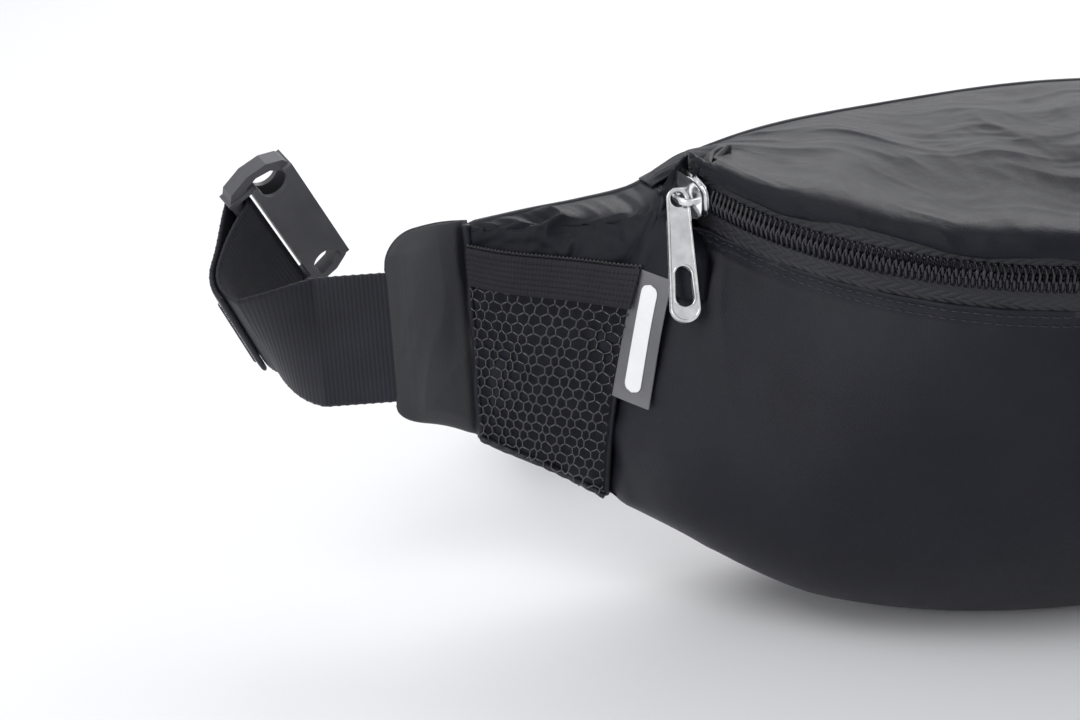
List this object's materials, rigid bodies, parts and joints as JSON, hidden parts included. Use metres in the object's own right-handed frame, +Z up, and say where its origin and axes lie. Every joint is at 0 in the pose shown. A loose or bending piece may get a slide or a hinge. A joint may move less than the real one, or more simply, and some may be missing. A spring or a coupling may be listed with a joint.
{
  "type": "waist bag",
  "caption": "Half-moon waist bag with a curved zip, mesh side pockets, webbing belt and a side-release buckle.",
  "frame": {"origin": "centre of the flat resting patch under the bag", "axes": "+X along the bag to the right as seen from the front, +Y towards the wearer, +Z up"},
  "size_m": [0.4798, 0.2397, 0.1323],
  "materials": {
    "shell_nylon": "dull woven nylon",
    "back_fabric": "padded woven nylon",
    "pocket_mesh": "knitted hexagon net",
    "elastic": "ribbed elastic tape",
    "webbing": "ribbed polypropylene webbing",
    "zip_tape": "herringbone zip tape",
    "zip_coil": "coiled monofilament",
    "zip_metal": "plated zinc casting",
    "label_satin": "grey satin",
    "label_patch": "white woven patch",
    "buckle_plastic": "moulded acetal",
    "thread": "sewing thread"
  },
  "bodies": {
    "bag": {"back_panel": "back_fabric", "front_panel": "shell_nylon", "top_panel": "shell_nylon", "side_panel_left": "shell_nylon", "side_panel_right": "shell_nylon", "wing_left": "shell_nylon", "wing_right": "shell_nylon", "mesh_pocket_left": "pocket_mesh", "mesh_pocket_right": "pocket_mesh", "pocket_elastic_left": "elastic", "pocket_elastic_right": "elastic", "label": "label_satin", "label_patch": "label_patch", "zip_tape_upper": "zip_tape", "zip_tape_lower": "zip_tape", "zip_coil_upper": "zip_coil", "zip_coil_lower": "zip_coil", "zip_end_tab_left": "shell_nylon", "zip_end_tab_right": "shell_nylon", "webbing_left": "webbing", "webbing_left_tack": "thread", "webbing_right": "webbing"},
    "slider": {"zip_slider": "zip_metal", "zip_bail": "zip_metal"},
    "pull": {"zip_pull": "zip_metal"},
    "female_half": {"buckle_female": "buckle_plastic"},
    "male_half": {"buckle_male": "buckle_plastic"},
    "arm_upper": {"buckle_male_arm_upper": "buckle_plastic"},
    "arm_lower": {"buckle_male_arm_lower": "buckle_plastic"},
    "keeper": {"strap_keeper": "elastic"}
  },
  "joints": [
    {"name": "zip_travel", "type": "hinge", "parent": "bag", "child": "slider", "pos_m": [0, 0.03292, 0.12514], "axis": [0, -0.1788, 0.9839], "range_deg": [0, 118]},
    {"name": "pull_swing", "type": "hinge", "parent": "slider", "child": "pull", "pos_m": [-0.10556, -0.00792, 0.11772], "axis": [-0.3659, 0.9156, 0.1664], "range_deg": [0, 140]},
    {"name": "female_pivot", "type": "hinge", "parent": "bag", "child": "female_half", "pos_m": [-0.21468, 0.05851, 0.09754], "axis": [-0.3406, -0.516, 0.786], "range_deg": [-50, 50]},
    {"name": "male_pivot", "type": "hinge", "parent": "bag", "child": "male_half", "pos_m": [0.00535, 0.16018, 0.02215], "axis": [0, 0, 1], "range_deg": [-50, 50]},
    {"name": "arm_upper_flex", "type": "hinge", "parent": "male_half", "child": "arm_upper", "pos_m": [0.01715, 0.16044, 0.03275], "axis": [-0.0223, 0.9998, 0], "range_deg": [0, 7], "stiffness_Nm_per_rad": 0.05},
    {"name": "arm_lower_flex", "type": "hinge", "parent": "male_half", "child": "arm_lower", "pos_m": [0.01715, 0.16044, 0.01155], "axis": [0.0223, -0.9998, 0], "range_deg": [0, 7], "stiffness_Nm_per_rad": 0.05},
    {"name": "keeper_slide", "type": "slide", "parent": "bag", "child": "keeper", "axis": [0.9998, 0.0223, 0], "range_m": [-0.055, 0.003]}
  ]
}
